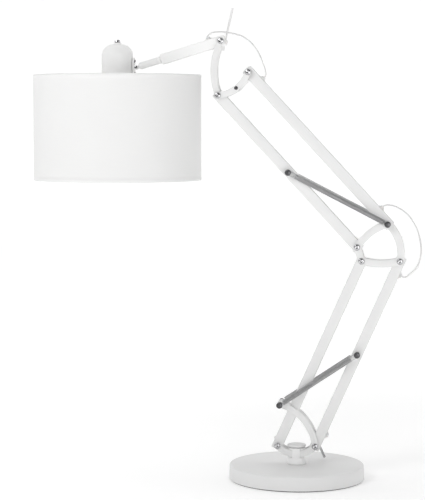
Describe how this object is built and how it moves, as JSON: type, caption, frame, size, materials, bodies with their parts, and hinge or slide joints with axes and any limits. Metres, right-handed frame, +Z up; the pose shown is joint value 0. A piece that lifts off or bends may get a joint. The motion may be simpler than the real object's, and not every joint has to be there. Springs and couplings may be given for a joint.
{
  "type": "swing arm desk lamp",
  "caption": "White spring-balanced desk lamp: round weighted base, parallel square-tube arms with an elbow frame, and a drum shade on a tilting head",
  "frame": {"origin": "centre of the round base pad underside, on the swivel axis, at the surface the lamp stands on", "axes": "+Z up; +X to the right of the front view, from the shade towards the elbow; +Y to the back; the linkage moves in the XZ plane"},
  "size_m": [0.7386, 0.32, 0.8943],
  "materials": {
    "white_paint": "satin white powder coat",
    "chrome": "polished chrome",
    "dark_steel": "dark blackened steel, slotted heads",
    "spring_steel": "bright grey spring wire",
    "iron": "rough cast iron, hidden",
    "felt_pad": "black felt",
    "white_nylon": "satin white nylon",
    "white_cord": "smooth white cord",
    "white_fabric": "white cotton on a stiff liner",
    "white_ceramic": "white glazed porcelain",
    "opal_glass": "opal white glass"
  },
  "bodies": {
    "base": {"base_cover": "white_paint", "base_weight": "iron", "base_pad": "felt_pad"},
    "turntable": {"swivel_post": "white_paint", "swivel_cap": "white_paint", "base_plate_front": "white_paint", "base_plate_back": "white_paint", "base_left_bolt": "chrome", "base_right_bolt": "chrome", "lower_anchor_bolt_front": "dark_steel", "lower_anchor_bolt_back": "dark_steel"},
    "lower_outer_arm": {"lower_outer_tube": "white_paint", "mains_gland": "white_nylon", "lower_gland": "white_nylon", "lower_spring_bolt": "dark_steel", "elbow_lead_lower": "white_cord"},
    "lower_inner_arm": {"lower_inner_tube": "white_paint"},
    "elbow": {"elbow_plate_front": "white_paint", "elbow_plate_back": "white_paint", "elbow_low_left_bolt": "chrome", "elbow_low_right_bolt": "chrome", "elbow_up_left_bolt": "chrome", "elbow_spring_bolt": "dark_steel"},
    "upper_outer_arm": {"upper_outer_tube": "white_paint", "upper_gland": "white_nylon", "top_gland": "white_nylon", "elbow_lead_upper": "white_cord", "head_lead_lower": "white_cord"},
    "upper_inner_arm": {"upper_inner_tube": "white_paint", "upper_spring_bolt": "dark_steel"},
    "top_bracket": {"head_plate_front": "white_paint", "head_plate_back": "white_paint", "top_plate_front": "white_paint", "top_plate_back": "white_paint", "top_left_bolt": "chrome", "top_right_bolt": "chrome", "head_pivot_bolt": "chrome", "top_sleeve": "dark_steel"},
    "head_arm": {"head_arm_tube": "white_paint", "head_gland": "white_nylon", "head_arm_sleeve": "white_nylon", "head_lead_upper": "white_cord"},
    "head_rod": {"head_rod": "white_paint"},
    "shade_head": {"saddle_plate": "white_paint", "neck_pin": "chrome", "lamp_cap": "white_paint", "cap_nut": "chrome", "lampholder": "white_ceramic", "bulb": "opal_glass", "shade_spider": "white_paint", "shade_bottom_ring": "white_paint", "shade_skin": "white_fabric"},
    "head_lever": {"head_clamp_lever": "white_paint"},
    "base_lever": {"base_clamp_lever": "chrome"},
    "lower_spring_body": {"lower_spring_front": "spring_steel", "lower_spring_back": "spring_steel"},
    "lower_spring_end": {"lower_spring_hook": "spring_steel"},
    "upper_spring_body": {"upper_spring_front": "spring_steel", "upper_spring_back": "spring_steel"},
    "upper_spring_end": {"upper_spring_hook": "spring_steel"}
  },
  "joints": [
    {"name": "base_swivel", "type": "hinge", "parent": "base", "child": "turntable", "pos_m": [0, 0, 0], "axis": [0, 0, 1], "range_deg": [-160, 160]},
    {"name": "lower_arm_lean", "type": "hinge", "parent": "turntable", "child": "lower_outer_arm", "pos_m": [0.036, 0, 0.0645], "axis": [0, 1, 0], "range_deg": [-30, 25]},
    {"name": "lower_inner_follow", "type": "hinge", "parent": "turntable", "child": "lower_inner_arm", "pos_m": [-0.036, 0, 0.0645], "axis": [0, 1, 0], "range_deg": [-31, 26]},
    {"name": "elbow_level", "type": "hinge", "parent": "lower_outer_arm", "child": "elbow", "pos_m": [0.19341, 0, 0.41804], "axis": [0, 1, 0], "range_deg": [-26, 31], "deforming": ["elbow_lead_lower"]},
    {"name": "upper_arm_lean", "type": "hinge", "parent": "elbow", "child": "upper_outer_arm", "pos_m": [0.17028, 0, 0.48767], "axis": [0, 1, 0], "range_deg": [-28, 25], "deforming": ["elbow_lead_upper"]},
    {"name": "upper_inner_follow", "type": "hinge", "parent": "elbow", "child": "upper_inner_arm", "pos_m": [0.11301, 0, 0.44404], "axis": [0, 1, 0], "range_deg": [-29, 26]},
    {"name": "top_level", "type": "hinge", "parent": "upper_outer_arm", "child": "top_bracket", "pos_m": [-0.09266, 0, 0.77163], "axis": [0, 1, 0], "range_deg": [-26, 29], "deforming": ["head_lead_lower"]},
    {"name": "head_tilt", "type": "hinge", "parent": "top_bracket", "child": "head_arm", "pos_m": [-0.14464, 0, 0.83], "axis": [0, 1, 0], "range_deg": [-10, 40], "deforming": ["head_lead_upper"]},
    {"name": "rod_roll", "type": "hinge", "parent": "head_arm", "child": "head_rod", "pos_m": [-0.14464, 0, 0.83], "axis": [-0.9583, 0, -0.2857], "range_deg": [-45, 45]},
    {"name": "shade_tilt", "type": "hinge", "parent": "head_rod", "child": "shade_head", "pos_m": [-0.30755, 0, 0.78143], "axis": [0, 1, 0], "range_deg": [-10, 26]},
    {"name": "head_clamp_turn", "type": "hinge", "parent": "top_bracket", "child": "head_lever", "pos_m": [-0.14464, 0, 0.83], "axis": [0, 1, 0], "range_deg": [-60, 60]},
    {"name": "base_clamp_turn", "type": "hinge", "parent": "turntable", "child": "base_lever", "pos_m": [0.036, 0, 0.0645], "axis": [0, 1, 0], "range_deg": [-75, 0]},
    {"name": "lower_spring_swing", "type": "hinge", "parent": "turntable", "child": "lower_spring_body", "pos_m": [-0.031, 0, 0.1434], "axis": [0, 1, 0], "range_deg": [-16, 13.5]},
    {"name": "lower_spring_stretch", "type": "slide", "parent": "lower_spring_body", "child": "lower_spring_end", "axis": [0.9989, 0, -0.0464], "range_m": [-0.06936, 0.05818], "deforming": ["lower_spring_front", "lower_spring_back"]},
    {"name": "upper_spring_swing", "type": "hinge", "parent": "elbow", "child": "upper_spring_body", "pos_m": [0.17028, 0, 0.48767], "axis": [0, 1, 0], "range_deg": [-15, 13.5]},
    {"name": "upper_spring_stretch", "type": "slide", "parent": "upper_spring_body", "child": "upper_spring_end", "axis": [0.9309, 0, 0.3653], "range_m": [-0.04976, 0.04461], "deforming": ["upper_spring_front", "upper_spring_back"]}
  ],
  "couplings": [
    {"joint": "lower_inner_follow", "follows": "lower_arm_lean", "ratio": 1},
    {"joint": "elbow_level", "follows": "lower_arm_lean", "ratio": -1},
    {"joint": "lower_spring_swing", "follows": "lower_arm_lean", "ratio": 0.5},
    {"joint": "lower_spring_stretch", "follows": "lower_arm_lean", "m_per_rad": 0.1282},
    {"joint": "upper_inner_follow", "follows": "upper_arm_lean", "ratio": 1},
    {"joint": "top_level", "follows": "upper_arm_lean", "ratio": -1},
    {"joint": "upper_spring_swing", "follows": "upper_arm_lean", "ratio": 0.5},
    {"joint": "upper_spring_stretch", "follows": "upper_arm_lean", "m_per_rad": 0.098313}
  ]
}
